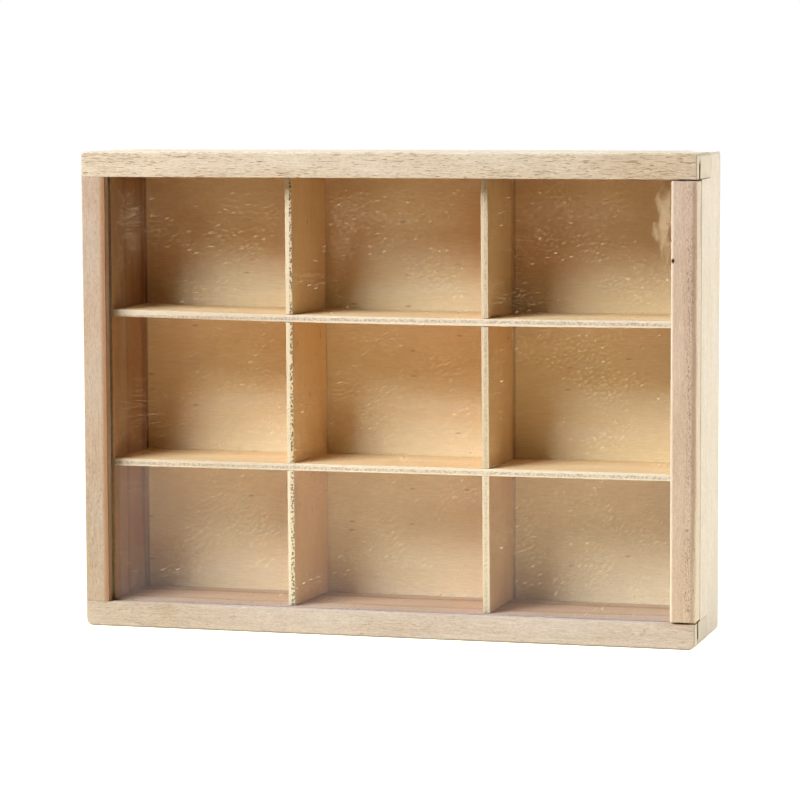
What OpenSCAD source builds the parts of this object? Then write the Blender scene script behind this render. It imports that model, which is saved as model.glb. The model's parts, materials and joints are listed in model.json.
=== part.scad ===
// Nine-compartment wooden display case with a clear sliding cover.
// Four boards are finger jointed into a frame, a plywood back closes it, and two shelves and two
// dividers of plywood lock into each other inside. A clear pane slides in grooves behind the front
// face and pulls out to the right by the wooden batten on its end.
// The origin is the middle of the underside. +X is the right side, +Y the back, +Z up.

/* [Case] */
// Width of the case
case_w = 200; // [170:1:300]
// Height of the case
case_h = 153; // [130:1:240]
// Depth of the case from front to back
case_d = 40; // [36:1:70]
// Thickness of the four boards of the frame
board_t = 8; // [7:0.1:11]
// Radius of the four corners, seen from the front
corner_r = 1.8; // [0.5:0.1:3]
// Width of the flat sanded along each outer edge
arris = 0.6; // [0.2:0.1:1.2]

/* [Corner joints] */
// Depth of the front fingers of the top board
top_finger_d = 23; // [14:0.5:30]
// Depth of the front fingers of the bottom board
bottom_finger_d = 20; // [14:0.5:30]

/* [Cover] */
// Thickness of the clear pane
pane_t = 2; // [1.5:0.1:3]
// Clearance on each side of the pane in its groove
pane_slack = 0.2; // [0.1:0.05:0.4]
// Wood in front of the pane's groove
groove_wall = 3.4; // [2.5:0.1:4.5]
// Depth of the groove in the boards
groove_depth = 4.8; // [3:0.1:6]
// Gap between the edges of the pane and the bottom of the groove
pane_edge_gap = 0.4; // [0.2:0.1:1]
// Width of the batten on the right end of the pane
batten_w = 8; // [6:0.1:14]
// Depth of the batten from its front to its back
batten_d = 7.9; // [7.5:0.1:10]
// Depth of the slot in the batten that holds the pane
batten_slot = 4.2; // [2:0.1:5]
// Gap above and below the batten
batten_end_gap = 0.4; // [0.2:0.1:1]
// Gap between the batten and the right side board behind it
batten_rear_gap = 0.2; // [0.1:0.05:0.5]
// Distance that the cover travels to the right to come off
cover_travel = 200; // [170:1:310]

/* [Shelves and dividers] */
// Thickness of their plywood
ply_t = 2.3; // [1.5:0.1:4]
// Width of the left column of compartments
left_bay_w = 59; // [35:0.5:90]
// Width of the right column of compartments
right_bay_w = 59; // [35:0.5:90]
// Height of the lower row of compartments
lower_bay_h = 43.6; // [25:0.5:70]
// Height of the upper row of compartments
upper_bay_h = 43.6; // [25:0.5:70]
// Angle by which the left divider stands out of square, to the right at the back
left_divider_skew = 3; // [0:0.5:4]
// Gap between the cover's groove and the front edges of the plywood
crate_front_gap = 0.4; // [0.2:0.1:2]
// Clearance between the plywood's ends and the boards or the back
crate_fit = 0.1; // [0.05:0.05:0.4]
// Clearance on each side of the plywood in a crossing slot
slot_fit = 0.1; // [0.05:0.05:0.3]

/* [Back] */
// Thickness of the back panel, and depth of the rebate that it lies in
back_t = 2.3; // [1.5:0.1:4]
// Width of the rebate along the inside of the boards
rebate_w = 4; // [2.5:0.1:5]
// Clearance round the back panel in its rebate
back_fit = 0.15; // [0.05:0.05:0.5]

/* [Hidden] */
$fn = 48;

pale_wood = "#dccbab";
grey_wood = "#cbb79d";
cream_wood = "#efe4d0";
panel_wood = "#d9b887";
plywood = "#e3cfa0";
batten_wood = "#c9b298";
clear = "#dfe9ea";

// Extra length of a cutter past the surface that it cuts
past = 1;

front_y = -case_d / 2;
back_y = case_d / 2;
inner_w = case_w - 2 * board_t;
inner_top = case_h - board_t;
inner_h = case_h - 2 * board_t;

// The cover's groove, and the right side board that stands back to let the cover out
groove_w = pane_t + 2 * pane_slack;
groove_front = front_y + groove_wall;
groove_back = groove_front + groove_w;
right_front = front_y + batten_d + batten_rear_gap;

// The back panel's rebate
rebate_front = back_y - back_t;
top_joint_y = front_y + top_finger_d;
bottom_joint_y = front_y + bottom_finger_d;

// The plywood crate
crate_front = groove_back + crate_front_gap;
crate_d = rebate_front - crate_fit - crate_front;
crate_w = inner_w - 2 * crate_fit;
crate_h = inner_h - 2 * crate_fit;
slot_d = crate_d / 2 + slot_fit;
slot_w = ply_t + 2 * slot_fit;
left_divider_x = -inner_w / 2 + left_bay_w + ply_t / 2;
right_divider_x = inner_w / 2 - right_bay_w - ply_t / 2;
lower_shelf_z = board_t + lower_bay_h + ply_t / 2;
upper_shelf_z = inner_top - upper_bay_h - ply_t / 2;

// The pane reaches into the left board's groove and into the batten
pane_left = -case_w / 2 + board_t - groove_depth + pane_edge_gap;
batten_left = case_w / 2 - batten_w;
pane_right = batten_left + batten_slot;
pane_low = board_t - groove_depth + pane_edge_gap;
pane_high = inner_top + groove_depth - pane_edge_gap;
pane_front = groove_front + pane_slack;

// A box from one corner to the other
module block(low, high) {
    translate(low) cube(high - low);
}

// An upright rectangle with four rounded corners, standing on the X axis
module rounded_outline(w, h, r) {
    translate([-w / 2, r]) square([w, h - 2 * r]);
    translate([-w / 2 + r, 0]) square([w - 2 * r, h]);
    for (x = [-w / 2 + r, w / 2 - r], y = [r, h - r]) {
        translate([x, y]) circle(r);
    }
}

// A rectangle from the origin with its four corners cut off
module cut_corner_outline(w, h, cut) {
    polygon([[cut, 0], [w - cut, 0], [w, cut], [w, h - cut],
             [w - cut, h], [cut, h], [0, h - cut], [0, cut]]);
}

// The outside of the finished case, rounded at its corners and eased along its edges
module case_envelope() {
    intersection() {
        translate([0, back_y, 0]) rotate([90, 0, 0])
            linear_extrude(case_d) rounded_outline(case_w, case_h, corner_r);
        translate([-case_w / 2, front_y, 0])
            linear_extrude(case_h) cut_corner_outline(case_w, case_d, arris);
        translate([-case_w / 2, front_y, 0]) rotate([90, 0, 90])
            linear_extrude(case_w) cut_corner_outline(case_d, case_h, arris);
    }
}

// The rebate round the back, cut into all four boards
module back_rebate() {
    block([-inner_w / 2 - rebate_w, rebate_front, board_t - rebate_w],
          [inner_w / 2 + rebate_w, back_y + past, inner_top + rebate_w]);
}

// The cover's groove: stopped in the left board, and open at the right end
module cover_groove() {
    block([-inner_w / 2 - groove_depth, groove_front, board_t - groove_depth],
          [case_w / 2 + past, groove_back, inner_top + groove_depth]);
}

// A top or bottom board: full width in front of the corner joints, and between the sides behind
module rail(low_z, high_z, joint_y) {
    difference() {
        intersection() {
            case_envelope();
            union() {
                block([-case_w / 2, front_y, low_z], [case_w / 2, joint_y, high_z]);
                block([-inner_w / 2, front_y, low_z], [inner_w / 2, back_y, high_z]);
            }
        }
        back_rebate();
        cover_groove();
    }
}

// A side board: between the top and bottom boards in front, and full height behind the joints
module stile(low_x, high_x, start_y) {
    difference() {
        intersection() {
            case_envelope();
            union() {
                block([low_x, start_y, board_t], [high_x, back_y, inner_top]);
                block([low_x, bottom_joint_y, 0], [high_x, back_y, case_h / 2]);
                block([low_x, top_joint_y, case_h / 2], [high_x, back_y, case_h]);
            }
        }
        back_rebate();
        cover_groove();
    }
}

// A shelf with its crossing slots open at the back
module shelf(z) {
    difference() {
        block([-crate_w / 2, crate_front, z - ply_t / 2],
              [crate_w / 2, crate_front + crate_d, z + ply_t / 2]);
        divider_place(left_divider_x, left_divider_skew) shelf_slot(z);
        divider_place(right_divider_x, 0) shelf_slot(z);
    }
}

module shelf_slot(z) {
    block([-slot_w / 2, crate_d - slot_d, z - ply_t],
          [slot_w / 2, crate_d + past, z + ply_t]);
}

// Puts a divider, or the slot for it, at its place; a divider is turned about its front edge
module divider_place(x, skew) {
    translate([x, crate_front, 0]) rotate([0, 0, -skew]) children();
}

// A divider with its crossing slots open at the front
module divider() {
    difference() {
        block([-ply_t / 2, 0, board_t + crate_fit],
              [ply_t / 2, crate_d, board_t + crate_fit + crate_h]);
        for (z = [lower_shelf_z, upper_shelf_z]) {
            block([-ply_t, -past, z - slot_w / 2], [ply_t, slot_d, z + slot_w / 2]);
        }
    }
}

module top_board() {
    color(pale_wood) rail(inner_top, case_h, top_joint_y);
}

module bottom_board() {
    color(pale_wood) rail(0, board_t, bottom_joint_y);
}

module left_side_board() {
    color(grey_wood) stile(-case_w / 2, -inner_w / 2, front_y);
}

module right_side_board() {
    color(cream_wood) stile(inner_w / 2, case_w / 2, right_front);
}

module back_panel() {
    color(panel_wood)
        block([-inner_w / 2 - rebate_w + back_fit, rebate_front, board_t - rebate_w + back_fit],
              [inner_w / 2 + rebate_w - back_fit, back_y, inner_top + rebate_w - back_fit]);
}

module upper_shelf() {
    color(plywood) shelf(upper_shelf_z);
}

module lower_shelf() {
    color(plywood) shelf(lower_shelf_z);
}

module left_divider() {
    color(plywood) divider_place(left_divider_x, left_divider_skew) divider();
}

module right_divider() {
    color(plywood) divider_place(right_divider_x, 0) divider();
}

module cover_pane() {
    color(clear)
        block([pane_left, pane_front, pane_low],
              [pane_right, pane_front + pane_t, pane_high]);
}

// The batten is a square strip with eased edges, slotted on its left side for the pane
module cover_batten() {
    color(batten_wood) difference() {
        translate([batten_left, front_y, board_t + batten_end_gap])
            linear_extrude(inner_h - 2 * batten_end_gap)
                cut_corner_outline(batten_w, batten_d, arris);
        block([batten_left - past, pane_front, 0],
              [pane_right, pane_front + pane_t, case_h]);
    }
}

top_board();
bottom_board();
left_side_board();
right_side_board();
back_panel();
upper_shelf();
lower_shelf();
left_divider();
right_divider();
cover_pane();
cover_batten();
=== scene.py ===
# Nine-compartment display case of bare paulownia wood with a clear cover that slides out sideways.
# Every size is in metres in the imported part's own frame; +X is the right side and +Y the back.
import json
import math
import bmesh
import bpy
from mathutils import Matrix, Vector, noise

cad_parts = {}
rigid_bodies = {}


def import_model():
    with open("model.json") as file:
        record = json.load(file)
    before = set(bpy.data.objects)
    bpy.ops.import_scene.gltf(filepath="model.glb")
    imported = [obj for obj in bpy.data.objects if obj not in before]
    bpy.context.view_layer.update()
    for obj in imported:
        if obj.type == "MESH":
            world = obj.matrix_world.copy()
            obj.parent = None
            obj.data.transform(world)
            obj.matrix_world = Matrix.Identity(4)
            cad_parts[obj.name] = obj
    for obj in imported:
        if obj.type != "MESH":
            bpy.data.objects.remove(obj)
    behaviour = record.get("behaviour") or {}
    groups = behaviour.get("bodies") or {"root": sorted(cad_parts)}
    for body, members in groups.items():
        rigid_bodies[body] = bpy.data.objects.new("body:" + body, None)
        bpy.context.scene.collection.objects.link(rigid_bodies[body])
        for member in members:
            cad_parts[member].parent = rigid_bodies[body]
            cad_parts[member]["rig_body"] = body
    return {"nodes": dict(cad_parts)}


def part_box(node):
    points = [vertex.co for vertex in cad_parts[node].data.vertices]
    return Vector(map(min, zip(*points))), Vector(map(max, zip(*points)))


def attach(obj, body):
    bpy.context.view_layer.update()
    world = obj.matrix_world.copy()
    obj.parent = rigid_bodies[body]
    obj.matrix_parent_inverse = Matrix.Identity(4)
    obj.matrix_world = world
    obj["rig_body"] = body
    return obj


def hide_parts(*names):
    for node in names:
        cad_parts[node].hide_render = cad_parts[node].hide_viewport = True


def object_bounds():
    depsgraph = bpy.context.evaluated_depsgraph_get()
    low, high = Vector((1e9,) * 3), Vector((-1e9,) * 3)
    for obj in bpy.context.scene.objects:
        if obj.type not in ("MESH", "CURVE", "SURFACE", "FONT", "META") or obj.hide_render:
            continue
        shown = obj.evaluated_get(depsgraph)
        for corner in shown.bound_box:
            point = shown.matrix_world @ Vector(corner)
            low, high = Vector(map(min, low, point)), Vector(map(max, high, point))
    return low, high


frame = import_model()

cad_low, cad_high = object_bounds()


# Viewpoint
# The photograph looks at the front from the right, a little above the top edge, through a long
# lens about a metre away. The aim is a point on the front face, near its middle.
MM = 0.001
VIEW_TURN = math.radians(15.64)
VIEW_TILT = math.radians(5.4)
VIEW_ROLL = math.radians(-0.2)
VIEW_DISTANCE = 1.072
VIEW_AIM = Vector((5.85 * MM, cad_low.y, 75.6 * MM))
LENS_MM = 153.8
SENSOR_MM = 36

to_camera = Vector((math.sin(VIEW_TURN) * math.cos(VIEW_TILT),
                    -math.cos(VIEW_TURN) * math.cos(VIEW_TILT),
                    math.sin(VIEW_TILT)))
camera = bpy.data.objects.new("camera", bpy.data.cameras.new("camera"))
camera.data.lens = LENS_MM
camera.data.sensor_width = SENSOR_MM
camera.location = VIEW_AIM + to_camera * VIEW_DISTANCE
camera.rotation_mode = "QUATERNION"
level = (-to_camera).to_track_quat("-Z", "Y")
camera.rotation_quaternion = level @ Matrix.Rotation(VIEW_ROLL, 3, "Z").to_quaternion()
bpy.context.scene.collection.objects.link(camera)
bpy.context.scene.camera = camera
bpy.context.scene.view_settings.view_transform = "Standard"


# Bottom board
# A strip of paulownia 8 mm thick. Its groove takes the cover's lower edge and runs out at the
# right end; a rebate at the back takes the back panel. Front fingers lock it to the sides.
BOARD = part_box("bottom_board")[1].z - cad_low.z
TOP_RADIUS = 1.2 * MM
BOTTOM_RADIUS = 2.2 * MM
OUTER_EASE = 0.6 * MM
JOINT_EASE = 0.16 * MM
EASE_SEGMENTS = 3
CORNER_SEGMENTS = 8
SAME = 0.01 * MM
WEAR_SPACING = 4 * MM
WEAR_BIAS = 0.35
GRAIN_STEP = 2.0 * MM
PANE_PLAY = Vector((0.4 * MM, 0.2 * MM, 0.4 * MM))
PANEL_PLAY = 0.15 * MM
GROOVE_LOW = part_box("cover_pane")[0] - PANE_PLAY
GROOVE_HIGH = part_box("cover_pane")[1] + PANE_PLAY
REBATE_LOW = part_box("back_panel")[0] - Vector((PANEL_PLAY, 0, PANEL_PLAY))
REBATE_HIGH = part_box("back_panel")[1] + Vector((PANEL_PLAY, 1 * MM, PANEL_PLAY))
BOTTOM_JOINT = cad_low.y + 20 * MM
PAST = 5 * MM


def linear(hex_colour):
    """An sRGB hex colour as linear red, green, blue and full alpha."""
    parts = [int(hex_colour[i:i + 2], 16) / 255 for i in (1, 3, 5)]
    return [c / 12.92 if c <= 0.04045 else ((c + 0.055) / 1.055) ** 2.4 for c in parts] + [1]


def add(tree, kind, inputs=None, **settings):
    """Adds a node to tree. An input that is given a socket is linked, and any other is set."""
    made = tree.nodes.new("ShaderNode" + kind)
    for key, value in settings.items():
        setattr(made, key, value)
    for key, value in (inputs or {}).items():
        if isinstance(value, bpy.types.NodeSocket):
            tree.links.new(value, made.inputs[key])
        else:
            made.inputs[key].default_value = value
    return made


def near(tree, point, spot, reach):
    """How close a point is to a spot, in millimetres: 1 well inside its reach, 0 outside it."""
    gap = add(tree, "VectorMath", {0: point, 1: spot}, operation="SUBTRACT")
    scaled = add(tree, "VectorMath", {0: gap.outputs[0], 1: reach}, operation="DIVIDE")
    off = add(tree, "VectorMath", {0: scaled.outputs[0]}, operation="LENGTH")
    return add(tree, "MapRange", {"Value": off.outputs["Value"], "From Min": 0.3,
                                  "From Max": 1.0, "To Min": 1.0, "To Max": 0.0},
               interpolation_type="SMOOTHSTEP").outputs[0]


def tinted(tree, colour, point, marks):
    """A colour with marks laid over it, each a spot, a reach, an amount and a hex colour."""
    for spot, reach, amount, mark in marks:
        inside = near(tree, point, spot, reach)
        cover = add(tree, "Math", {0: inside, 1: amount}, operation="MULTIPLY")
        colour = add(tree, "Mix", {"Factor": cover.outputs[0], 6: colour, 7: linear(mark)},
                     data_type="RGBA").outputs[2]
    return colour


def paulownia(name, pale, tan, pore, end, grain="X", pith=(0, 30, -60), ring=9.0, late=0.2,
              porous=0.1, pore_length=4.0, pore_depth=0.7, coarse=(), stains_and_painted_light=(), lines=()):
    """Bare sanded paulownia: a pale, soft, ring-porous wood. The early wood of each year is open,
    with pores that show as short dark dashes, the late wood is a thin tan line, and a sawn end
    is paler. pith is where the tree's centre lies and ring is a year's growth, in millimetres.
    Coarse areas have more pores. Stains are soft marks and lines are dirty joints and worn edges,
    and
    some of each are painted light: painted shade, painted shadows, painted highlights and a paler
    lit face."""
    made = bpy.data.materials.new(name)
    made.use_nodes = True
    tree = made.node_tree
    tree.nodes.clear()
    place = add(tree, "TexCoord")
    wood = add(tree, "VectorMath", {0: place.outputs["Object"], 1: (1 / MM,) * 3},
               operation="MULTIPLY").outputs[0]

    def stretch(along, across):
        """A scale whose pattern is so many millimetres long and wide, lengthened with the grain."""
        return ((1 / along, 1 / across, 1 / across) if grain == "X"
                else (1 / across, 1 / across, 1 / along))

    # The grain wanders a little along the board
    slow = add(tree, "VectorMath", {0: wood, 1: stretch(38, 12)}, operation="MULTIPLY")
    sway = add(tree, "TexNoise", {"Vector": slow.outputs[0], "Scale": 1.0, "Detail": 1.0})
    lean = add(tree, "VectorMath", {0: sway.outputs["Color"], 1: (0.5, 0.5, 0.5)},
               operation="SUBTRACT")
    swing = (0, 5, 5) if grain == "X" else (5, 5, 0)
    bent = add(tree, "VectorMath", {0: lean.outputs[0], 1: swing, 2: wood},
               operation="MULTIPLY_ADD").outputs[0]

    # Growth rings round the pith
    out = add(tree, "VectorMath", {0: bent, 1: pith}, operation="SUBTRACT")
    level = (0.012, 1, 1) if grain == "X" else (1, 1, 0.012)
    flat = add(tree, "VectorMath", {0: out.outputs[0], 1: level}, operation="MULTIPLY")
    radius = add(tree, "VectorMath", {0: flat.outputs[0]}, operation="LENGTH")
    years = add(tree, "Math", {0: radius.outputs["Value"], 1: ring}, operation="DIVIDE")
    season = add(tree, "Math", {0: years.outputs[0]}, operation="FRACT").outputs[0]
    early = add(tree, "MapRange", {"Value": season, "From Min": 0.1, "From Max": 0.6,
                                   "To Min": 1.0, "To Max": 0.0},
                interpolation_type="SMOOTHSTEP").outputs[0]
    late_rise = add(tree, "MapRange", {"Value": season, "From Min": 0.75, "From Max": 0.97},
                    interpolation_type="SMOOTHSTEP").outputs[0]

    # Pores, cut lengthwise and 0.26 mm wide, with more of them in the early wood
    areas = add(tree, "VectorMath", {0: wood, 1: stretch(30, 6)}, operation="MULTIPLY")
    patch = add(tree, "TexNoise", {"Vector": areas.outputs[0], "Scale": 1.0, "Detail": 2.0})
    cells = add(tree, "VectorMath", {0: bent, 1: stretch(pore_length, 0.26)},
                operation="MULTIPLY")
    dashes = add(tree, "TexNoise", {"Vector": cells.outputs[0], "Scale": 1.0, "Detail": 1.5,
                                    "Roughness": 0.5})
    crowd = add(tree, "MapRange", {"Value": patch.outputs["Fac"], "From Min": 0.3,
                                   "From Max": 0.7, "To Min": porous - 0.04,
                                   "To Max": porous + 0.04})
    crowded = add(tree, "Math", {0: early, 1: 0.03, 2: crowd.outputs[0]},
                  operation="MULTIPLY_ADD").outputs[0]
    for spot, reach, amount in coarse:
        crowded = add(tree, "Math", {0: near(tree, wood, spot, reach), 1: amount, 2: crowded},
                      operation="MULTIPLY_ADD").outputs[0]
    open_wood = add(tree, "Math", {0: crowded, 1: dashes.outputs["Fac"]}, operation="ADD")
    pores = add(tree, "MapRange", {"Value": open_wood.outputs[0], "From Min": 0.63,
                                   "From Max": 0.72, "To Min": 0.0, "To Max": pore_depth},
                interpolation_type="SMOOTHSTEP").outputs[0]

    # Fibres, and a fine mottle of cut and torn ones
    strands = add(tree, "VectorMath", {0: bent, 1: stretch(9, 0.3)}, operation="MULTIPLY")
    fibre = add(tree, "TexNoise", {"Vector": strands.outputs[0], "Scale": 1.0, "Detail": 3.0})
    torn = add(tree, "VectorMath", {0: bent, 1: stretch(1.1, 0.4)}, operation="MULTIPLY")
    mottle = add(tree, "TexNoise", {"Vector": torn.outputs[0], "Scale": 1.0, "Detail": 2.0,
                                    "Roughness": 0.6})
    texture = add(tree, "Math", {0: fibre.outputs["Fac"], 1: mottle.outputs["Fac"]},
                  operation="ADD")
    shade = add(tree, "MapRange", {"Value": texture.outputs[0], "From Min": 0.7,
                                   "From Max": 1.3, "To Min": 0.82, "To Max": 1.14})
    patchy = add(tree, "MapRange", {"Value": patch.outputs["Fac"], "From Min": 0.35,
                                    "From Max": 0.7, "To Min": 0.0, "To Max": 0.35})
    tint = add(tree, "Math", {0: late_rise, 1: late, 2: patchy.outputs[0]},
               operation="MULTIPLY_ADD", use_clamp=True)
    body = add(tree, "Mix", {"Factor": tint.outputs[0], 6: linear(pale), 7: linear(tan)},
               data_type="RGBA")
    stained_and_painted = tinted(tree, body.outputs[2], bent, stains_and_painted_light)
    streaked = add(tree, "Mix", {"Factor": 1.0, 6: stained_and_painted, 7: shade.outputs[0]},
                   data_type="RGBA", blend_type="MULTIPLY")
    pored = add(tree, "Mix", {"Factor": pores, 6: streaked.outputs[2], 7: linear(pore)},
                data_type="RGBA")

    # End grain
    facing = add(tree, "SeparateXYZ", {"Vector": place.outputs["Normal"]})
    along = add(tree, "Math", {0: facing.outputs[grain]}, operation="ABSOLUTE")
    sawn = add(tree, "MapRange", {"Value": along.outputs[0], "From Min": 0.8, "From Max": 0.98,
                                  "To Max": 0.75})
    cut = add(tree, "Mix", {"Factor": sawn.outputs[0], 6: pored.outputs[2], 7: linear(end)},
              data_type="RGBA")
    colour = tinted(tree, cut.outputs[2], wood, lines)

    # Relief and finish
    relief = add(tree, "Math", {0: pores, 1: -1.5, 2: texture.outputs[0]},
                 operation="MULTIPLY_ADD")
    bump = add(tree, "Bump", {"Height": relief.outputs[0], "Strength": 0.5,
                              "Distance": 0.12 * MM})
    rough = add(tree, "MapRange", {"Value": fibre.outputs["Fac"], "To Min": 0.7, "To Max": 0.9})
    skin = add(tree, "BsdfPrincipled", {"Base Color": colour, "Roughness": rough.outputs[0],
                                        "IOR": 1.45, "Specular IOR Level": 0.3,
                                        "Normal": bump.outputs[0]})
    add(tree, "OutputMaterial", {"Surface": skin.outputs[0]})
    return made


def block(low, high):
    """A plain closed box mesh between two corners."""
    shape = bmesh.new()
    size = Vector(high) - Vector(low)
    middle = (Vector(high) + Vector(low)) / 2
    placed = Matrix.Translation(middle) @ Matrix.Diagonal(size).to_4x4()
    bmesh.ops.create_cube(shape, size=1, matrix=placed)
    mesh = bpy.data.meshes.new("block")
    shape.to_mesh(mesh)
    shape.free()
    return mesh


def carved(name, base, steps):
    """A new object: the base mesh after each step, a pair of a boolean operation and a mesh."""
    piece = bpy.data.objects.new(name, base)
    bpy.context.scene.collection.objects.link(piece)
    tools = []
    for operation, mesh in steps:
        tool = bpy.data.objects.new("tool", mesh)
        bpy.context.scene.collection.objects.link(tool)
        tools.append(tool)
        cut = piece.modifiers.new("cut", "BOOLEAN")
        cut.operation = operation
        cut.solver = "EXACT"
        cut.object = tool
    graph = bpy.context.evaluated_depsgraph_get()
    finished = bpy.data.meshes.new_from_object(piece.evaluated_get(graph))
    piece.modifiers.clear()
    piece.data = finished
    finished.name = name
    for tool in tools:
        bpy.data.objects.remove(tool)
    return piece


def envelope():
    """The outside of the whole case, with its corners rounded and its long edges eased."""
    shape = bmesh.new()
    shape.from_mesh(block(cad_low, cad_high))
    for radius, height in ((TOP_RADIUS, cad_high.z), (BOTTOM_RADIUS, cad_low.z)):
        corners = [e for e in shape.edges if abs((e.verts[0].co - e.verts[1].co).y) > MM
                   and abs(e.verts[0].co.z - height) < SAME
                   and abs(abs(e.verts[0].co.x) - cad_high.x) < SAME]
        bmesh.ops.bevel(shape, geom=corners, offset=radius, segments=CORNER_SEGMENTS,
                        profile=0.5, affect="EDGES")
    rims = [e for e in shape.edges if e.calc_face_angle(0) > math.radians(60)]
    bmesh.ops.bevel(shape, geom=rims, offset=OUTER_EASE, segments=EASE_SEGMENTS, profile=0.5,
                    affect="EDGES")
    mesh = bpy.data.meshes.new("envelope")
    shape.to_mesh(mesh)
    shape.free()
    return mesh


def hand_finish(piece, ease, grain, step, wear, seed):
    """Eases the sharp edges, cuts the faces across the grain, and wears the edges unevenly."""
    shape = bmesh.new()
    shape.from_mesh(piece.data)
    bmesh.ops.remove_doubles(shape, verts=shape.verts, dist=SAME)
    bmesh.ops.dissolve_limit(shape, angle_limit=math.radians(1), verts=shape.verts,
                             edges=shape.edges)
    sharp = [e for e in shape.edges if e.calc_face_angle(0) > math.radians(50)]
    bmesh.ops.bevel(shape, geom=sharp, offset=ease, segments=2, profile=0.5, affect="EDGES",
                    clamp_overlap=True)
    axis = Vector((1, 0, 0)) if grain == "X" else Vector((0, 0, 1))
    reach = [v.co.dot(axis) for v in shape.verts]
    cuts = int((max(reach) - min(reach)) / step)
    for i in range(1, cuts):
        at = min(reach) + (max(reach) - min(reach)) * i / cuts
        bmesh.ops.bisect_plane(shape, geom=shape.verts[:] + shape.edges[:] + shape.faces[:],
                               plane_co=axis * at, plane_no=axis)
    shape.normal_update()
    for vert in shape.verts:
        normal = vert.normal
        on_edge = max(abs(normal.x), abs(normal.y), abs(normal.z)) < 0.97
        if on_edge:
            spot = vert.co / WEAR_SPACING + Vector((seed, seed, seed))
            vert.co -= normal * wear * max(0.0, WEAR_BIAS + noise.noise(spot))
    shape.to_mesh(piece.data)
    shape.free()
    piece.data.shade_smooth()
    piece.data.set_sharp_from_angle(angle=math.radians(50))
    even = piece.modifiers.new("even_shading", "WEIGHTED_NORMAL")
    even.keep_sharp = True


def dress(piece, material, node):
    """Gives a piece its material and the body of its CAD node, and hides that node."""
    piece.data.materials.clear()
    piece.data.materials.append(material)
    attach(piece, frame["nodes"][node]["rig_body"])
    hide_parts(node)


case_outside = envelope()
groove = block(GROOVE_LOW, (cad_high.x + PAST, GROOVE_HIGH.y, GROOVE_HIGH.z))
rebate = block(REBATE_LOW, REBATE_HIGH)


def rail(name, node, low_z, high_z, joint_y):
    """A top or bottom board: full width in front, and between the sides behind its fingers."""
    length = block((cad_low.x, cad_low.y, low_z), (cad_high.x, cad_high.y, high_z))
    return carved(name, length, [
        ("INTERSECT", case_outside),
        ("DIFFERENCE", groove),
        ("DIFFERENCE", rebate),
        ("DIFFERENCE", block((cad_low.x - PAST, joint_y, low_z - PAST),
                             (cad_low.x + BOARD, cad_high.y + PAST, high_z + PAST))),
        ("DIFFERENCE", block((cad_high.x - BOARD, joint_y, low_z - PAST),
                             (cad_high.x + PAST, cad_high.y + PAST, high_z + PAST))),
    ])


bottom_board = rail("bottom_rail", "bottom_board", cad_low.z, cad_low.z + BOARD, BOTTOM_JOINT)
hand_finish(bottom_board, JOINT_EASE, "X", GRAIN_STEP, 0.12 * MM, 1.3)
dress(bottom_board,
      paulownia("paulownia_bottom_rail", "#c3b7b0", "#b2a18e", "#8f7c68", "#e5ddd0",
                pith=(0, 12, -90), ring=11.0, late=0.15, porous=-0.01, pore_length=2.2,
                pore_depth=0.55,
                stains_and_painted_light=[((94, -20, 8), (10, 5, 2.5), 0.8, "#b08f63"),
                        ((-72, -20, 5), (5, 5, 3), 0.3, "#9c8260"),
                        # painted shade: greyer and darker over the left half of the front
                        ((-90, -20, 4), (80, 12, 12), 0.3, "#a8967e"),
                        ((0, 4, 8), (400, 24, 3), 0.6, "#be9967"),
                        ((0, 11, 8), (400, 2.2, 2.2), 0.5, "#8a6238"),
                        ((0, -5, 8), (400, 2.1, 2.1), 0.35, "#8a6238")],
                # painted shade: a grey line along the shaded lower front edge
                lines=[((0, -20, 0), (400, 0.9, 0.8), 0.6, "#8f8c86"),
                       ((0, -16.6, 8), (400, 0.4, 0.5), 0.7, "#7a5a3c"),
                       # painted shadow: the groove, and the gap under the batten, are drawn near
                       # black
                       ((150, -15.4, 4.5), (250, 1.7, 3.8), 1.0, "#3a2819"),
                       ((96, -16, 8), (4.6, 6, 0.4), 1.0, "#140d08"),
                       ((100, 0, 4), (1.0, 0.35, 5), 0.5, "#a79c8c")]),
      "bottom_board")


# Left side board
# The same stock, glued between the rails' front fingers. Its upright groove, sawn close to the
# front, stops the cover and hides its left edge. The inner face is brown, with darker stripes.
TOP_JOINT = cad_low.y + 23 * MM


def stile(name, low_x, high_x, start_y):
    """A side board: between the rails in front of the joints, and full height behind them."""
    length = block((low_x, start_y, cad_low.z), (high_x, cad_high.y, cad_high.z))
    return carved(name, length, [
        ("INTERSECT", case_outside),
        ("DIFFERENCE", groove),
        ("DIFFERENCE", rebate),
        ("DIFFERENCE", block((low_x - PAST, cad_low.y - PAST, cad_low.z - PAST),
                             (high_x + PAST, BOTTOM_JOINT, cad_low.z + BOARD))),
        ("DIFFERENCE", block((low_x - PAST, cad_low.y - PAST, cad_high.z - BOARD),
                             (high_x + PAST, TOP_JOINT, cad_high.z + PAST))),
    ])


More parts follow.
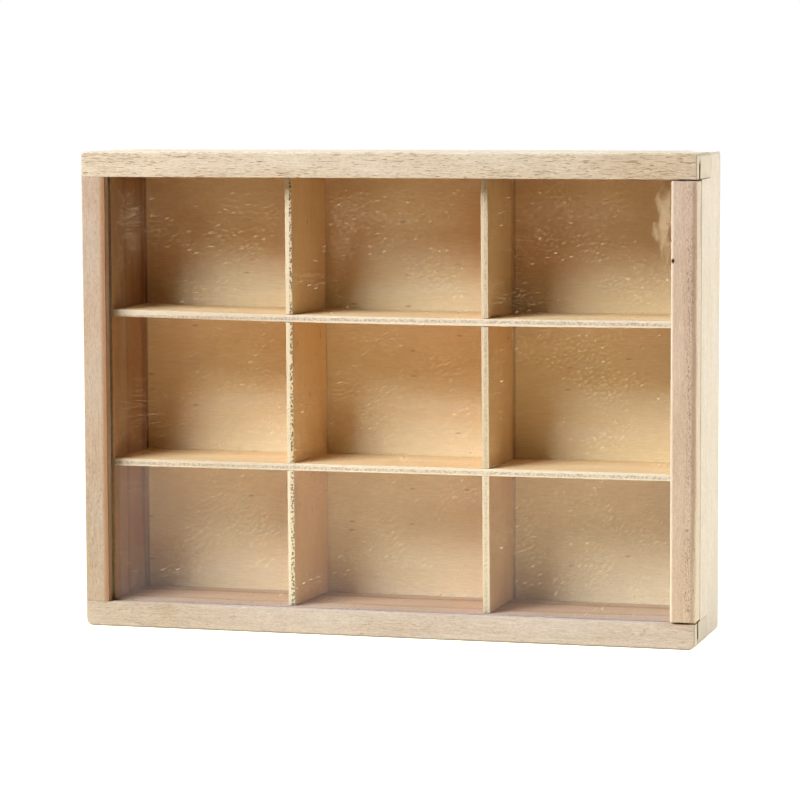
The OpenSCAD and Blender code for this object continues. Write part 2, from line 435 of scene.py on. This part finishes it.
left_side = stile("left_stile", cad_low.x, cad_low.x + BOARD, cad_low.y)
hand_finish(left_side, JOINT_EASE, "Z", GRAIN_STEP, 0.1 * MM, 5.1)
dress(left_side,
      paulownia("paulownia_left_stile", "#b8a898", "#b08c64", "#84694e", "#ddd0bd", grain="Z",
                pith=(-100, -57, 0), ring=7.0, late=0.35, porous=-0.02, pore_length=2.0,
                pore_depth=0.6,
                # painted shade: greyer and darker low on the front
                stains_and_painted_light=[((-96, -20, 18), (9, 9, 70), 0.35, "#a09082"),
                        ((-91, 4, 76), (3.2, 26, 400), 0.75, "#ab7f50"),
                        ((-91, -1, 76), (3.2, 2.2, 400), 0.35, "#7a5230"),
                        ((-91, 14.5, 76), (3.2, 3.4, 400), 0.45, "#7a5230")],
                lines=[((-92, -20, 76), (2.2, 0.6, 400), 0.75, "#96673f"),
                       ((-92, -18.3, 76), (0.8, 1.6, 400), 0.3, "#b98d62"),
                       ((-92, -13.2, 76), (0.8, 1.2, 400), 0.5, "#c79a68"),
                       # painted shadow: the groove drawn near black; painted shade: a brown line in
                       # the rear inner corner; painted highlight: a pale line down the outer front
                       # edge
                       ((-94.6, -15.4, 76), (2.7, 1.7, 400), 1.0, "#2b1d12"),
                       ((-92, 17.7, 76), (3, 0.8, 400), 0.5, "#6b3d1c"),
                       ((-100, -20, 76), (0.6, 0.6, 400), 0.4, "#e2d6c6")]),
      "left_side_board")


# Right side board
# Paulownia again, glued between the rails. It starts behind the cover's batten, which leaves the
# way open for the cover. Its outer face is the palest wood on the case, with hardly any grain; the
# paleness is partly its own and partly painted light for the bright light on this side.
right_side = stile("right_stile", cad_high.x - BOARD, cad_high.x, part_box("right_side_board")[0].y)
hand_finish(right_side, JOINT_EASE, "Z", GRAIN_STEP, 0.08 * MM, 8.7)
dress(right_side,
      paulownia("paulownia_right_stile", "#e8e0d9", "#dfd3c3", "#c9b497", "#eae1d3", grain="Z",
                pith=(30, 90, 0), ring=11.0, late=0.2, porous=-0.03, pore_length=3.0,
                pore_depth=0.4, stains_and_painted_light=[((92, 4, 76), (2.5, 26, 400), 0.5, "#b27d4b")],
                lines=[((100, -11.9, 76), (1.0, 0.35, 400), 0.7, "#9c9184"),
                       ((100, 3.0, 149), (1.0, 0.35, 5), 0.7, "#a79c8c"),
                       ((100, 0.0, 4), (1.0, 0.35, 5), 0.5, "#a79c8c"),
                       ((100, -8, 145), (1.0, 12, 0.35), 0.6, "#a79c8c"),
                       # painted shade: a brown line in the rear inner corner
                       ((92, 17.7, 76), (3, 0.8, 400), 0.5, "#6b3d1c")]),
      "right_side_board")


# Top board
# A strip of the same paulownia, grooved and rebated like the bottom board, but with front fingers
# that are 3 mm longer. Its underside has gone brown, as the inner faces of the sides have.
top_board = rail("top_rail", "top_board", cad_high.z - BOARD, cad_high.z, TOP_JOINT)
hand_finish(top_board, JOINT_EASE, "X", GRAIN_STEP, 0.1 * MM, 3.9)
dress(top_board,
      paulownia("paulownia_top_rail", "#cfc5b2", "#c4b194", "#8a7152", "#e5ddd0",
                pith=(0, 8, 240), ring=11.0, late=0.15, porous=0.03, pore_length=3.2,
                pore_depth=0.8, coarse=[((88, -20, 150), (24, 9, 9), 0.04)],
                stains_and_painted_light=[((86, -20, 150), (24, 9, 8), 0.3, "#b39672"),
                        ((0, 4, 145), (400, 25, 2.5), 0.9, "#9a6a3e")],
                # painted shadow: black in the gap over the batten
                lines=[((96, -16, 145), (4.6, 6, 0.4), 1.0, "#140d08"),
                       ((100, 3.0, 149), (1.0, 0.35, 5), 0.7, "#a79c8c"),
                       ((100, -8, 145), (1.0, 12, 0.35), 0.6, "#a79c8c"),
                       # painted shadow: the groove drawn near black
                       ((150, -15.4, 148.5), (250, 1.7, 3.8), 1.0, "#3a2819")]),
      "top_board")


# Back panel
# Thin rotary-cut plywood, glued into the rebate. The compartments show its face, a warm tan with
# faint level grain.
PANEL_STEP = 8.0 * MM
back_low, back_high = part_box("back_panel")


def veneer(name, light, warm, mark, ply=None, core=None, voids=0.0, core_span=(-0.4, 0.55),
           red_side=1, lines=()):
    """Bare plywood. The face veneer is peeled from the log, so its figure is broad and faint, with
    short level fibre lines and a few small dark marks. A sawn edge shows three plies: two pale
    ones with the grain along the piece, and a greyer core whose pores end there as dots. It lies
    between the heights of core_span, and voids is how dark its dots are. Where ply is given, the
    redder sheet is the upper face for a red_side of 1, and the lower one for -1."""
    made = bpy.data.materials.new(name)
    made.use_nodes = True
    tree = made.node_tree
    tree.nodes.clear()
    place = add(tree, "TexCoord")
    wood = add(tree, "VectorMath", {0: place.outputs["Object"], 1: (1 / MM,) * 3},
               operation="MULTIPLY").outputs[0]
    broad = add(tree, "VectorMath", {0: wood, 1: (1 / 60, 1 / 9, 1 / 9)}, operation="MULTIPLY")
    figure = add(tree, "TexNoise", {"Vector": broad.outputs[0], "Scale": 1.0, "Detail": 3.0,
                                    "Distortion": 0.6})
    warmth = add(tree, "MapRange", {"Value": figure.outputs["Fac"], "From Min": 0.35,
                                    "From Max": 0.68})
    face = add(tree, "Mix", {"Factor": warmth.outputs[0], 6: linear(light), 7: linear(warm)},
               data_type="RGBA")
    strands = add(tree, "VectorMath", {0: wood, 1: (1 / 3.2, 1 / 0.32, 1 / 0.32)},
                  operation="MULTIPLY")
    fibre = add(tree, "TexNoise", {"Vector": strands.outputs[0], "Scale": 1.0, "Detail": 2.5,
                                   "Roughness": 0.6})
    shade = add(tree, "MapRange", {"Value": fibre.outputs["Fac"], "From Min": 0.25,
                                   "From Max": 0.75, "To Min": 0.88, "To Max": 1.08})
    lined = add(tree, "Mix", {"Factor": 1.0, 6: face.outputs[2], 7: shade.outputs[0]},
                data_type="RGBA", blend_type="MULTIPLY")

    # Short dark marks, spread over the face's two directions, with four in five of them left out
    sides = add(tree, "SeparateXYZ", {"Vector": wood})
    across = add(tree, "Math", {0: sides.outputs["Y"], 1: sides.outputs["Z"]}, operation="ADD")
    spread = add(tree, "CombineXYZ", {"X": sides.outputs["X"], "Y": across.outputs[0]})
    knots = add(tree, "VectorMath", {0: spread.outputs[0], 1: (1 / 18, 1 / 6, 0)},
                operation="MULTIPLY")
    knot = add(tree, "TexVoronoi", {"Vector": knots.outputs[0], "Scale": 1.0},
               voronoi_dimensions="2D")
    dash = add(tree, "MapRange", {"Value": knot.outputs["Distance"], "From Min": 0.02,
                                  "From Max": 0.08, "To Min": 0.5, "To Max": 0.0})
    lot = add(tree, "SeparateXYZ", {"Vector": knot.outputs["Color"]})
    kept = add(tree, "Math", {0: lot.outputs["X"], 1: 0.8}, operation="GREATER_THAN")
    marked = add(tree, "Math", {0: dash.outputs[0], 1: kept.outputs[0]}, operation="MULTIPLY")
    shown = add(tree, "Mix", {"Factor": marked.outputs[0], 6: lined.outputs[2],
                              7: linear(mark)}, data_type="RGBA").outputs[2]
    if ply:
        fringe = add(tree, "Math", {0: fibre.outputs["Fac"], 1: 0.5, 2: sides.outputs["Z"]},
                     operation="MULTIPLY_ADD").outputs[0]
        upper = add(tree, "MapRange", {"Value": fringe, "From Min": core_span[1] - 0.07,
                                       "From Max": core_span[1] + 0.07, "To Min": 1.0,
                                       "To Max": 0.0}).outputs[0]
        lower = add(tree, "MapRange", {"Value": fringe, "From Min": core_span[0] - 0.07,
                                       "From Max": core_span[0] + 0.07})
        in_core = add(tree, "Math", {0: upper, 1: lower.outputs[0]}, operation="MULTIPLY")
        ends = add(tree, "CombineXYZ", {"X": sides.outputs["X"], "Y": sides.outputs["Z"]})
        vessels = add(tree, "TexVoronoi", {"Vector": ends.outputs[0], "Scale": 1.1},
                      voronoi_dimensions="2D")
        hollow = add(tree, "MapRange", {"Value": vessels.outputs["Distance"], "From Min": 0.28,
                                        "From Max": 0.42, "To Min": voids, "To Max": 0.0})
        hole = add(tree, "Math", {0: hollow.outputs[0], 1: in_core.outputs[0]},
                   operation="MULTIPLY")
        plies = add(tree, "Mix", {"Factor": in_core.outputs[0], 6: linear(ply),
                                  7: linear(core)}, data_type="RGBA")
        rough_sawn = add(tree, "Mix", {"Factor": 1.0, 6: plies.outputs[2],
                                       7: shade.outputs[0]}, data_type="RGBA",
                         blend_type="MULTIPLY")
        pitted = add(tree, "Mix", {"Factor": hole.outputs[0], 6: rough_sawn.outputs[2],
                                   7: linear(mark)}, data_type="RGBA")
        facing = add(tree, "SeparateXYZ", {"Vector": place.outputs["Normal"]})
        up = add(tree, "Math", {0: facing.outputs["Z"]}, operation="ABSOLUTE")
        redder = add(tree, "MapRange", {"Value": facing.outputs["Z"], "From Max": red_side})
        shown = add(tree, "Mix", {"Factor": redder.outputs[0], 6: shown,
                                  7: linear("#f2c596")}, data_type="RGBA",
                    blend_type="MULTIPLY").outputs[2]
        on_face = add(tree, "MapRange", {"Value": up.outputs[0], "From Min": 0.55,
                                         "From Max": 0.8})
        shown = add(tree, "Mix", {"Factor": on_face.outputs[0], 6: pitted.outputs[2],
                                  7: shown}, data_type="RGBA").outputs[2]
    shown = tinted(tree, shown, wood, lines)
    bump = add(tree, "Bump", {"Height": fibre.outputs["Fac"], "Strength": 0.4,
                              "Distance": 0.08 * MM})
    rough = add(tree, "MapRange", {"Value": fibre.outputs["Fac"], "To Min": 0.62,
                                   "To Max": 0.82})
    skin = add(tree, "BsdfPrincipled", {"Base Color": shown, "Roughness": rough.outputs[0],
                                        "IOR": 1.45, "Specular IOR Level": 0.3,
                                        "Normal": bump.outputs[0]})
    add(tree, "OutputMaterial", {"Surface": skin.outputs[0]})
    return made


# Painted shade: browner patches on the veneer where the compartments' shadows fall, across the top
# row and down the left column: middle and reach in millimetres, amount and colour
PAINTED_SHADE_PATCHES = [((-86, 17.7, 126), (24, 3, 38), 0.3, "#c98a50"),
         ((-25, 17.7, 128), (20, 3, 32), 0.28, "#c98548"),
         ((39, 17.7, 124), (25, 3, 38), 0.36, "#c8803f"),
         ((66, 17.7, 128), (60, 3, 40), 0.3, "#ecc488"),
         ((-86, 17.7, 76), (22, 3, 30), 0.22, "#c98a50"),
         ((-86, 17.7, 30), (22, 3, 30), 0.22, "#c99466")]
# Painted shade: dark lines in the back corners, where the dividers and the left side meet the panel
CORNER_SHADE_LINES = [((-30.2, 17.7, 76), (0.6, 1, 400), 0.35, "#8a4f22"),
                ((33.6, 17.7, 76), (0.6, 1, 400), 0.35, "#8a4f22"),
                ((-92, 17.7, 76), (0.8, 1, 400), 0.5, "#6b3d1c")]
back = carved("plywood_back", block(back_low, back_high), [])
hand_finish(back, JOINT_EASE, "X", PANEL_STEP, 0.05 * MM, 2.2)
dress(back,
      veneer("plywood_back", "#fbf0d0", "#f6e6be", "#8f6238", lines=PAINTED_SHADE_PATCHES + CORNER_SHADE_LINES),
      "back_panel")


# Shelves and dividers
# Four strips of thin plywood, halved over each other like an egg crate, pushed in from the back
# and glued. The shelves' front edges run through, the sawn edges are a little rough, and the left
# divider stands out of square.
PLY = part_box("upper_shelf")[1].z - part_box("upper_shelf")[0].z
SLOT = PLY + 0.2 * MM
LEFT_SKEW = math.radians(3)
STRIP_EASE = 0.12 * MM
STRIP_STEP = 1.2 * MM
STRIP_WEAR = 0.1 * MM
crate_low, crate_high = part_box("upper_shelf")
CRATE_DEPTH = crate_high.y - crate_low.y
CROSSING = CRATE_DEPTH / 2 + 0.1 * MM
shelf_heights = [sum(c.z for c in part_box(n)) / 2 for n in ("lower_shelf", "upper_shelf")]
right_low, right_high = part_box("right_divider")
RIGHT_X = (right_low.x + right_high.x) / 2
LEFT_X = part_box("left_divider")[0].x + PLY / 2 * math.cos(LEFT_SKEW)


def bow(x):
    """How far the upper shelf stands above its straight line: up at its left end, then sagging."""
    reach = x / (100 * MM)
    return (-0.28 - 0.5 * reach + 0.85 * reach * reach) * MM


def strip(name, length, slots, slots_in_front, offset):
    """A plywood strip lying flat: its length along X, front edge at Y = 0, slots at places on X.
    offset gives how far out of its plane the strip lies at a place on X."""
    low = (-length / 2, 0, -PLY / 2)
    high = (length / 2, CRATE_DEPTH, PLY / 2)
    start, stop = (-PAST, CROSSING) if slots_in_front else (CRATE_DEPTH - CROSSING,
                                                          CRATE_DEPTH + PAST)
    cutters = []
    for place, turn in slots:
        cutter = block((-SLOT / 2, start, -PAST), (SLOT / 2, stop, PAST))
        cutter.transform(Matrix.Translation((place, 0, 0)) @ Matrix.Rotation(turn, 4, "Z"))
        cutters.append(("DIFFERENCE", cutter))
    piece = carved(name, block(low, high), cutters)
    seed = length * 100 + slots[0][0] * 1000
    hand_finish(piece, STRIP_EASE, "X", STRIP_STEP, STRIP_WEAR, seed)
    for vert in piece.data.vertices:
        vert.co.z += offset(vert.co.x)
    return piece


# Painted shade: a brown line where the strips meet the back, and the shelves' left front edge
# darker where the left side shades it
REAR_SHADE_LINE = [((0, CRATE_DEPTH / MM, 0), (400, 0.7, 4), 0.25, "#9a5f30")]
SHADED_FRONT_EDGE = [((-75, 0, 0), (70, 1.5, 3), 0.25, "#9c8767")]
shelf_ply = veneer("plywood_shelf", "#e8d1a8", "#dfc596", "#6b4a2c", ply="#efe8d6",
                   core="#e2d8c6", voids=0.4, red_side=-1,
                   lines=REAR_SHADE_LINE + SHADED_FRONT_EDGE)
right_ply = veneer("plywood_right_divider", "#f2d8aa", "#edcd9c", "#6b4a2c", ply="#e2d6bd",
                   core="#d6cbb2", voids=0.25, red_side=1, lines=REAR_SHADE_LINE)
left_ply = veneer("plywood_left_divider", "#f3dbb0", "#eed0a0", "#432d1a", ply="#e6dbc0",
                  core="#dccfb0", voids=0.9, core_span=(-0.65, 0.6), red_side=1,
                  lines=REAR_SHADE_LINE)

# How far right each divider leans at its bottom and at its top
LEANS = {"left_divider": (-0.2 * MM, -0.7 * MM), "right_divider": (0.3 * MM, -0.35 * MM)}
shelf_bows = {"lower_shelf": lambda x: 0.0, "upper_shelf": bow}


def lean_at(node, height):
    """How far right a divider stands at a height, from its places at the bottom and the top."""
    bottom, top = LEANS[node]
    return bottom + (top - bottom) * (height - right_low.z) / (right_high.z - right_low.z)


for node, height in zip(("lower_shelf", "upper_shelf"), shelf_heights):
    crossings = [(LEFT_X + lean_at("left_divider", height), -LEFT_SKEW),
                 (RIGHT_X + lean_at("right_divider", height), 0)]
    shelf = strip("plywood_" + node, crate_high.x - crate_low.x, crossings, False,
                  shelf_bows[node])
    shelf.matrix_world = Matrix.Translation((0, crate_low.y, height))
    dress(shelf, shelf_ply, node)

divider_middle = (right_low.z + right_high.z) / 2
upright = Matrix.Rotation(math.radians(-90), 4, "Y")
for node, place, skew, ply in (("left_divider", LEFT_X, LEFT_SKEW, left_ply),
                               ("right_divider", RIGHT_X, 0, right_ply)):
    crossings = [(z + bow_of(place) - divider_middle, 0)
                 for z, bow_of in zip(shelf_heights, shelf_bows.values())]
    divider = strip("plywood_" + node, right_high.z - right_low.z, crossings, True,
                    lambda x: -lean_at(node, divider_middle + x))
    divider.matrix_world = (Matrix.Translation((place, crate_low.y, divider_middle))
                            @ Matrix.Rotation(-skew, 4, "Z") @ upright)
    dress(divider, ply, node)


# Cover pane
# Clear acrylic sheet 2 mm thick with polished faces and sawn edges. It came with dust, fine
# scratches and a smear of glue beside the batten, all drawn in its material.
pane_low, pane_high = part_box("cover_pane")

# Rubbed places on the pane's face: middle and reach in millimetres, strength of the strokes and
# of the smear
SCUFFS = [((4, 133), (26, 15), 0.11, 0.0), ((-14, 126), (5, 14), 0.11, 0.0),
          ((62, 135), (24, 12), 0.1, 0.0), ((-86, 132), (6, 18), 0.15, 0.0),
          ((89.5, 133), (4, 16), 0.16, 0.16)]


def acrylic(name):
    """Cast acrylic, IOR 1.49: clear, so that light passes straight through, with a faint mirror
    that grows towards grazing angles. Dust and dried glue lie on it as a matt, pale film."""
    made = bpy.data.materials.new(name)
    made.use_nodes = True
    tree = made.node_tree
    tree.nodes.clear()
    place = add(tree, "TexCoord")
    sheet = add(tree, "VectorMath", {0: place.outputs["Object"], 1: (1 / MM,) * 3},
                operation="MULTIPLY").outputs[0]
    sides = add(tree, "SeparateXYZ", {"Vector": sheet})
    flat = add(tree, "CombineXYZ", {"X": sides.outputs["X"], "Y": sides.outputs["Z"]}).outputs[0]

    # Dust: specks 0.35 to 0.6 mm across and fainter ones of 0.2 to 0.4 mm, crowded in some places.
    # Real dust is finer, and is drawn this coarse so that it shows.
    grains = add(tree, "TexVoronoi", {"Vector": flat, "Scale": 0.4}, voronoi_dimensions="2D")
    speck = add(tree, "MapRange", {"Value": grains.outputs["Distance"], "From Min": 0.07,
                                   "From Max": 0.12, "To Min": 1.0, "To Max": 0.0})
    lot = add(tree, "SeparateXYZ", {"Vector": grains.outputs["Color"]})
    kept = add(tree, "MapRange", {"Value": lot.outputs["X"], "From Min": 0.78, "From Max": 1.0,
                                  "To Min": 0.1, "To Max": 0.65})
    cloud = add(tree, "TexNoise", {"Vector": flat, "Scale": 0.05, "Detail": 4.0,
                                   "Roughness": 0.7})
    crowd = add(tree, "MapRange", {"Value": cloud.outputs["Fac"], "From Min": 0.45,
                                   "From Max": 0.6})
    inward = add(tree, "MapRange", {"Value": sides.outputs["X"], "From Min": -88,
                                    "From Max": -70})
    sparse = add(tree, "Math", {0: kept.outputs[0], 1: inward.outputs[0]}, operation="MULTIPLY")
    large = add(tree, "Math", {0: speck.outputs[0], 1: sparse.outputs[0]}, operation="MULTIPLY")
    fine = add(tree, "TexVoronoi", {"Vector": flat, "Scale": 0.8}, voronoi_dimensions="2D")
    point = add(tree, "MapRange", {"Value": fine.outputs["Distance"], "From Min": 0.08,
                                   "From Max": 0.15, "To Min": 0.22, "To Max": 0.0})
    spots = add(tree, "Math", {0: large.outputs[0], 1: point.outputs[0]}, operation="MAXIMUM")
    dots = add(tree, "Math", {0: spots.outputs[0], 1: crowd.outputs[0]}, operation="MULTIPLY")

    # Scuffs: fine strokes in three directions, where the pane was rubbed or glued. They are
    # 0.24 mm wide, which is coarser than real ones, so that they show.
    strokes = 0.0
    for angle in (86, 12, -40):
        turned = add(tree, "VectorRotate", {"Vector": flat, "Angle": math.radians(angle)},
                     rotation_type="Z_AXIS")
        drawn = add(tree, "VectorMath", {0: turned.outputs[0], 1: (1 / 2.4, 1 / 0.24, 0)},
                    operation="MULTIPLY")
        hair = add(tree, "TexNoise", {"Vector": drawn.outputs[0], "Scale": 1.0, "Detail": 2.0},
                   noise_dimensions="2D")
        stroke = add(tree, "MapRange", {"Value": hair.outputs["Fac"], "From Min": 0.58,
                                        "From Max": 0.78})
        strokes = add(tree, "Math", {0: stroke.outputs[0], 1: strokes},
                      operation="MAXIMUM").outputs[0]
    film = 0.0
    frayed = add(tree, "VectorMath", {0: flat, 1: (1 / 2, 1 / 6, 0)}, operation="MULTIPLY")
    wander = add(tree, "TexNoise", {"Vector": frayed.outputs[0], "Scale": 1.0, "Detail": 3.0},
                 noise_dimensions="2D")
    pull = add(tree, "VectorMath", {0: wander.outputs["Color"], 1: (0.5, 0.5, 0.5)},
               operation="SUBTRACT")
    ragged = add(tree, "VectorMath", {0: pull.outputs[0], 1: (9, 16, 0), 2: flat},
                 operation="MULTIPLY_ADD").outputs[0]
    for spot, reach, scuffed, smeared in SCUFFS:
        inside = near(tree, ragged, (spot[0], spot[1], 0), (reach[0], reach[1], 1))
        rubbed = add(tree, "Math", {0: strokes, 1: scuffed, 2: smeared},
                     operation="MULTIPLY_ADD")
        film = add(tree, "Math", {0: inside, 1: rubbed.outputs[0], 2: film},
                   operation="MULTIPLY_ADD").outputs[0]
    haze = add(tree, "MapRange", {"Value": cloud.outputs["Fac"], "From Min": 0.5,
                                  "From Max": 0.75, "To Min": 0.0, "To Max": 0.004})
    thin = add(tree, "Math", {0: film, 1: haze.outputs[0]}, operation="ADD")
    laid = add(tree, "Math", {0: dots.outputs[0], 1: thin.outputs[0]}, operation="MAXIMUM")
    facing = add(tree, "SeparateXYZ", {"Vector": place.outputs["Normal"]})
    outside = add(tree, "Math", {0: facing.outputs["Y"], 1: -0.5}, operation="LESS_THAN")
    dust = add(tree, "Math", {0: laid.outputs[0], 1: outside.outputs[0]}, operation="MULTIPLY")

    tilt = add(tree, "LayerWeight", {"Blend": 0.5}).outputs["Facing"]
    grazing = add(tree, "Math", {0: tilt, 1: 5.0}, operation="POWER")
    mirror = add(tree, "MapRange", {"Value": grazing.outputs[0], "To Min": 0.039, "To Max": 1.0})
    clear = add(tree, "BsdfTransparent", {"Color": linear("#ffffff")})
    gloss = add(tree, "BsdfGlossy", {"Color": linear("#ffffff"), "Roughness": 0.03})
    polished = add(tree, "MixShader", {0: mirror.outputs[0], 1: clear.outputs[0],
                                       2: gloss.outputs[0]})
    dusty = add(tree, "BsdfPrincipled", {"Base Color": linear("#f4e2bd"), "Roughness": 0.9})
    mixed = add(tree, "MixShader", {0: dust.outputs[0], 1: polished.outputs[0],
                                    2: dusty.outputs[0]})

    # The sawn edges are matt and let light through only dimly
    aside = add(tree, "Math", {0: facing.outputs["Y"]}, operation="ABSOLUTE")
    edge = add(tree, "MapRange", {"Value": aside.outputs[0], "From Min": 0.2, "From Max": 0.7,
                                  "To Min": 0.75, "To Max": 0.0})
    sawn = add(tree, "BsdfPrincipled", {"Base Color": linear("#b9c2bf"), "Roughness": 0.5,
                                        "IOR": 1.49})
    whole = add(tree, "MixShader", {0: edge.outputs[0], 1: mixed.outputs[0],
                                    2: sawn.outputs[0]})
    add(tree, "OutputMaterial", {"Surface": whole.outputs[0]})
    return made


PANE_EASE = 0.15 * MM
PANE_STEP = 20 * MM
pane = carved("acrylic_pane", block(pane_low, pane_high), [])
hand_finish(pane, PANE_EASE, "X", PANE_STEP, 0.0, 0.0)
dress(pane, acrylic("acrylic_pane"), "cover_pane")


# Cover batten
# A square strip of the same wood, slotted and glued over the pane's right edge. It closes the
# front of the frame and is what the fingers pull.
BATTEN_EASE = 0.4 * MM
batten_low, batten_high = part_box("cover_batten")
batten = carved("batten", block(batten_low, batten_high), [
    ("DIFFERENCE", block((batten_low.x - PAST, pane_low.y, batten_low.z - PAST),
                         (pane_high.x, pane_high.y, batten_high.z + PAST)))])
hand_finish(batten, BATTEN_EASE, "Z", GRAIN_STEP, 0.1 * MM, 6.6)
dress(batten,
      paulownia("paulownia_batten", "#c8b5a4", "#b39a82", "#6f5542", "#d8c6ae", grain="Z",
                pith=(43, -14, 0), ring=9.0, late=0.2, porous=-0.025, pore_length=0.8,
                pore_depth=0.6, coarse=[((97.8, -20.6, 76), (2.0, 1.5, 400), 0.09)],
                # painted light: the right side face is drawn paler, as the side light makes it
                stains_and_painted_light=[((100, -16, 76), (1.2, 9, 400), 0.8, "#e9dccd")],
                # painted highlight: a pale line down the left front edge, and a darker line down
                # the right front edge
                lines=[((92.3, -20, 76), (0.7, 0.7, 400), 0.6, "#efe3d2"),
                       ((99.2, -20.3, 76), (1.2, 0.7, 400), 0.6, "#8d6f5a"),
                       ((92.6, -20, 120.2), (0.8, 0.8, 1.1), 1.0, "#2a1712"),
                       # painted shadow: the ends are black where they face the gaps to the rails
                       ((96, -16, 144.7), (7, 7, 0.5), 1.0, "#140d08"),
                       ((96, -16, 8.3), (7, 7, 0.5), 1.0, "#140d08"),
                       ((100, -12.1, 76), (1.0, 0.35, 400), 0.7, "#9c9184")]),
      "cover_batten")


# Studio
# A table that shows as plain white but throws cream light at the case from close by, and a little
# red from further in front. A large soft lamp stands on the left in front, a weaker one behind,
# and a small one beside the right end.
TABLE_REACH = 12.0
TABLE_FRONT = -0.45
TABLE_FILL = 0.85
MIRRORED_FILL = 0.85
table_mesh = bpy.data.meshes.new("table")
table_mesh.from_pydata([(-TABLE_REACH, TABLE_FRONT, 0), (TABLE_REACH, TABLE_FRONT, 0),
                        (TABLE_REACH, TABLE_REACH, 0), (-TABLE_REACH, TABLE_REACH, 0)],
                       [], [(0, 1, 2, 3)])
table = bpy.data.objects.new("table", table_mesh)
bpy.context.scene.collection.objects.link(table)
paint = bpy.data.materials.new("white_table")
paint.use_nodes = True
table_tree = paint.node_tree
table_tree.nodes.clear()
sight = add(table_tree, "LightPath")
straight = add(table_tree, "Math", {0: sight.outputs["Is Camera Ray"],
                                    1: sight.outputs["Is Transmission Ray"]}, operation="MAXIMUM")
ground = add(table_tree, "TexCoord").outputs["Object"]
front = add(table_tree, "SeparateXYZ", {"Vector": ground})
falloff = add(table_tree, "MapRange", {"Value": front.outputs["Y"], "From Min": -0.3,
                                       "From Max": -0.12})
paper = add(table_tree, "Mix", {"Factor": falloff.outputs[0], 6: linear("#a85046"),
                                7: linear("#fcf2c8")}, data_type="RGBA")
card = add(table_tree, "BsdfDiffuse", {"Color": paper.outputs[2]})
away = add(table_tree, "VectorMath", {0: ground}, operation="LENGTH").outputs["Value"]
glow = add(table_tree, "MapRange", {"Value": away, "From Min": 0.12, "From Max": 0.4,
                                    "To Min": TABLE_FILL, "To Max": 1.0})
fill = add(table_tree, "Emission", {"Color": linear("#ffffff"), "Strength": glow.outputs[0]})
lit_card = add(table_tree, "AddShader", {0: card.outputs[0], 1: fill.outputs[0]})
shown_card = add(table_tree, "MixShader", {0: straight.outputs[0], 1: card.outputs[0],
                                           2: lit_card.outputs[0]})
soft_fill = add(table_tree, "Emission", {"Color": linear("#ffffff"),
                                         "Strength": MIRRORED_FILL})
mirrored = add(table_tree, "MixShader", {0: sight.outputs["Is Glossy Ray"],
                                         1: shown_card.outputs[0], 2: soft_fill.outputs[0]})
add(table_tree, "OutputMaterial", {"Surface": mirrored.outputs[0]})
table_mesh.materials.append(paint)


LAMP_AIM = 75 * MM


def lamp(name, turn, tilt, distance, size, power):
    """A square soft lamp that faces the case from a compass turn and a height angle."""
    made = bpy.data.objects.new(name, bpy.data.lights.new(name, "AREA"))
    made.data.size = size
    made.data.energy = power
    turn, tilt = math.radians(turn), math.radians(tilt)
    away = Vector((math.sin(turn) * math.cos(tilt), -math.cos(turn) * math.cos(tilt),
                   math.sin(tilt)))
    made.location = Vector((0, 0, LAMP_AIM)) + away * distance
    made.rotation_mode = "QUATERNION"
    made.rotation_quaternion = away.to_track_quat("Z", "Y")
    bpy.context.scene.collection.objects.link(made)


lamp("key_lamp", -38, 44, 1.5, 0.85, 37)
lamp("rear_lamp", 205, 40, 1.6, 0.9, 13)
lamp("side_lamp", 105, 15, 1.2, 0.6, 8.5)

# The backdrop is white straight through and in mirrors, but the room in front stays dim
world = bpy.data.worlds.new("studio")
bpy.context.scene.world = world
world.use_nodes = True
sky = world.node_tree
sky.nodes.clear()
path = add(sky, "LightPath")
toward = add(sky, "SeparateXYZ", {"Vector": add(sky, "TexCoord").outputs["Generated"]})
behind = add(sky, "MapRange", {"Value": toward.outputs["Y"], "From Min": -0.05,
                               "From Max": 0.05})
glimpsed = add(sky, "Math", {0: path.outputs["Is Glossy Ray"], 1: behind.outputs[0]},
               operation="MULTIPLY")
seen = add(sky, "Math", {0: path.outputs["Is Camera Ray"],
                         1: path.outputs["Is Transmission Ray"]}, operation="MAXIMUM")
shown_sky = add(sky, "Math", {0: seen.outputs[0], 1: glimpsed.outputs[0]}, operation="MAXIMUM")
dim = add(sky, "Background", {"Color": linear("#ffffff"), "Strength": 0.002})
white = add(sky, "Background", {"Color": linear("#ffffff"), "Strength": 1.0})
studio_sky = add(sky, "MixShader", {0: shown_sky.outputs[0], 1: dim.outputs[0],
                                    2: white.outputs[0]})
add(sky, "OutputWorld", {"Surface": studio_sky.outputs[0]})
